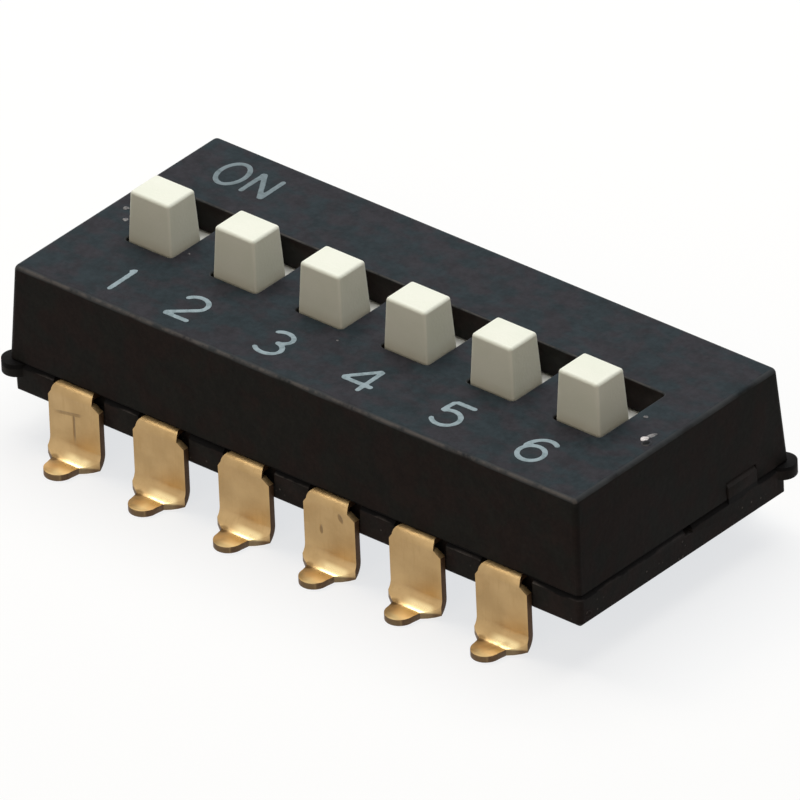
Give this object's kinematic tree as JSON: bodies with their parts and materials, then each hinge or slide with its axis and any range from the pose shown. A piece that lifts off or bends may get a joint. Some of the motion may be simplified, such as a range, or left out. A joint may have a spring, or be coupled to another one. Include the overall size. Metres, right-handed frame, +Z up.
{
  "type": "surface-mount slide dip switch",
  "caption": "Low slide-type DIP switch for a printed board: black drafted cover, ivory slide knobs in slots, gold gull-wing terminals along both long sides.",
  "frame": {"origin": "centre of the footprint, on the plane that the terminal feet stand on", "axes": "+X along the row from position 1 to position 6, +Y towards the ON side, +Z up out of the board"},
  "size_m": [0.0174, 0.0096, 0.0056],
  "materials": {
    "cover_plastic": "fine moulded grain, dark slate",
    "base_plastic": "moulded, near black",
    "slider_plastic": "satin ivory",
    "contact_gold": "thin gold over spring copper",
    "terminal_gold": "matt gold plate, brown at the sheared edges"
  },
  "bodies": {
    "housing": {"cover": "cover_plastic", "base": "base_plastic", "front_terminal_1": "terminal_gold", "front_terminal_2": "terminal_gold", "front_terminal_3": "terminal_gold", "front_terminal_4": "terminal_gold", "front_terminal_5": "terminal_gold", "front_terminal_6": "terminal_gold", "rear_terminal_1": "terminal_gold", "rear_terminal_2": "terminal_gold", "rear_terminal_3": "terminal_gold", "rear_terminal_4": "terminal_gold", "rear_terminal_5": "terminal_gold", "rear_terminal_6": "terminal_gold"},
    "slider_1": {"slider_1": "slider_plastic", "moving_contact_1": "contact_gold"},
    "slider_2": {"slider_2": "slider_plastic", "moving_contact_2": "contact_gold"},
    "slider_3": {"slider_3": "slider_plastic", "moving_contact_3": "contact_gold"},
    "slider_4": {"slider_4": "slider_plastic", "moving_contact_4": "contact_gold"},
    "slider_5": {"slider_5": "slider_plastic", "moving_contact_5": "contact_gold"},
    "slider_6": {"slider_6": "slider_plastic", "moving_contact_6": "contact_gold"}
  },
  "joints": [
    {"name": "slider_1_slide", "type": "slide", "parent": "housing", "child": "slider_1", "axis": [0, 1, 0], "range_m": [0, 0.00113]},
    {"name": "slider_2_slide", "type": "slide", "parent": "housing", "child": "slider_2", "axis": [0, 1, 0], "range_m": [0, 0.00113]},
    {"name": "slider_3_slide", "type": "slide", "parent": "housing", "child": "slider_3", "axis": [0, 1, 0], "range_m": [0, 0.00113]},
    {"name": "slider_4_slide", "type": "slide", "parent": "housing", "child": "slider_4", "axis": [0, 1, 0], "range_m": [0, 0.00113]},
    {"name": "slider_5_slide", "type": "slide", "parent": "housing", "child": "slider_5", "axis": [0, 1, 0], "range_m": [0, 0.00113]},
    {"name": "slider_6_slide", "type": "slide", "parent": "housing", "child": "slider_6", "axis": [0, 1, 0], "range_m": [0, 0.00113]}
  ]
}
